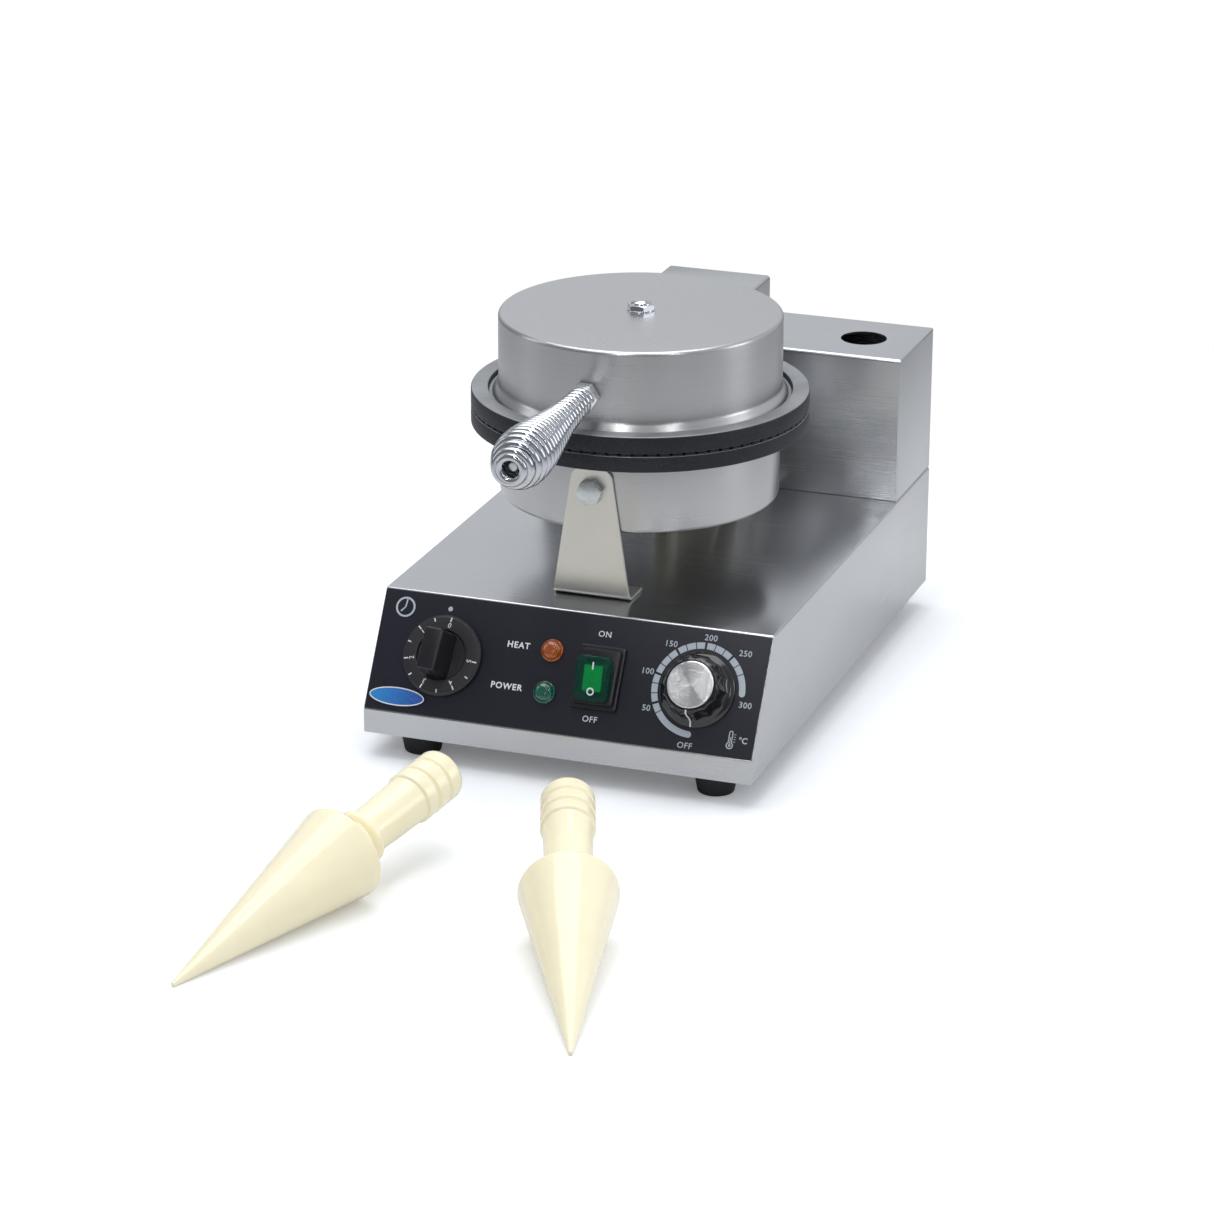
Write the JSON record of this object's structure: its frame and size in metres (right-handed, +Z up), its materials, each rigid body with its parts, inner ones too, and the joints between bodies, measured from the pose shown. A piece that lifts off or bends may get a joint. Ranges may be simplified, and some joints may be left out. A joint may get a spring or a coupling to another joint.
{
  "type": "waffle cone maker",
  "caption": "Countertop waffle cone maker: hinged round baking iron on a steel base with timer, thermostat and lit switch, with cone-shaped tools for rolling the waffles.",
  "frame": {"origin": "centre of the underside of the whole set, on the counter, in the machine's middle plane", "axes": "+Z up, +Y from the control panel to the back, +X to the right as seen from the front"},
  "size_m": [0.2766, 0.828, 0.2658],
  "materials": {
    "brushed_steel": "satin, fine straight grain",
    "satin_steel": "satin, spun",
    "bracket_steel": "satin",
    "heater_steel": "heat tinted",
    "zinc": "zinc plated",
    "chrome": "polished",
    "cast_iron": "sandblasted",
    "aluminium": "spun",
    "brass": "satin",
    "panel_foil": "satin printed foil",
    "black_plastic": "satin",
    "rubber": "matte",
    "amber_lens": "glossy, translucent",
    "green_lens": "glossy, translucent",
    "rocker_green": "glossy",
    "cover_green": "translucent, soft gloss",
    "badge_blue": "glossy",
    "former_plastic": "glossy",
    "mineral_wool": "matte"
  },
  "bodies": {
    "base": {"base_shell": "brushed_steel", "bottom_plate": "brushed_steel", "control_panel": "panel_foil", "front_bracket": "bracket_steel", "front_bracket_bolt": "zinc", "rear_bracket": "bracket_steel", "rear_bracket_bolt": "zinc", "hinge_bracket": "bracket_steel", "hinge_pin": "zinc", "hinge_spring_left": "zinc", "hinge_spring_right": "zinc", "rear_housing": "brushed_steel", "rear_cover": "brushed_steel", "lower_drum": "satin_steel", "lower_plate": "cast_iron", "lower_heater": "heater_steel", "lower_insulation": "mineral_wool", "lower_lead_sleeve": "mineral_wool", "timer_body": "zinc", "thermostat_body": "zinc", "thermostat_capillary": "brass", "switch_bezel": "black_plastic", "heat_lamp_lens": "amber_lens", "heat_lamp_body": "black_plastic", "power_lamp_lens": "green_lens", "power_lamp_body": "black_plastic", "terminal_block": "black_plastic", "cord_gland": "black_plastic", "power_cord": "rubber", "power_plug": "rubber", "badge": "badge_blue", "foot_front_left": "rubber", "foot_screw_front_left": "zinc", "foot_front_right": "rubber", "foot_screw_front_right": "zinc", "foot_rear_left": "rubber", "foot_screw_rear_left": "zinc", "foot_rear_right": "rubber", "foot_screw_rear_right": "zinc"},
    "lid": {"upper_plate": "cast_iron", "lid_shell": "satin_steel", "upper_heater": "heater_steel", "upper_insulation": "mineral_wool", "lid_stud": "zinc", "lid_cap_nut": "chrome", "handle_rod": "zinc", "handle_nut": "chrome", "handle_coil": "chrome", "hinge_arm": "cast_iron", "hinge_cover": "brushed_steel"},
    "timer": {"timer_dial": "black_plastic", "timer_shaft": "zinc"},
    "thermostat": {"thermostat_knob": "black_plastic", "knob_cap": "aluminium", "thermostat_shaft": "zinc"},
    "rocker": {"switch_rocker": "rocker_green", "switch_cover": "cover_green"},
    "former_left": {"cone_former_left": "former_plastic"},
    "former_right": {"cone_former_right": "former_plastic"}
  },
  "joints": [
    {"name": "lid_hinge", "type": "hinge", "parent": "base", "child": "lid", "pos_m": [0, 0.222, 0.218], "axis": [-1, 0, 0], "range_deg": [0, 95]},
    {"name": "timer_turn", "type": "hinge", "parent": "base", "child": "timer", "pos_m": [-0.0798, -0.04606, 0.0639], "axis": [0, 0.8552, -0.5183], "range_deg": [0, 260]},
    {"name": "thermostat_turn", "type": "hinge", "parent": "base", "child": "thermostat", "pos_m": [0.0842, -0.04606, 0.0639], "axis": [0, 0.8552, -0.5183], "range_deg": [0, 280]},
    {"name": "switch_rock", "type": "hinge", "parent": "base", "child": "rocker", "pos_m": [0.0215, -0.04818, 0.06426], "axis": [-1, 0, 0], "range_deg": [0, 24]},
    {"name": "former_left_lift", "type": "slide", "parent": "base", "child": "former_left", "axis": [0, 0, 1], "range_m": [0, 0.12]},
    {"name": "former_right_lift", "type": "slide", "parent": "base", "child": "former_right", "axis": [0, 0, 1], "range_m": [0, 0.12]}
  ]
}
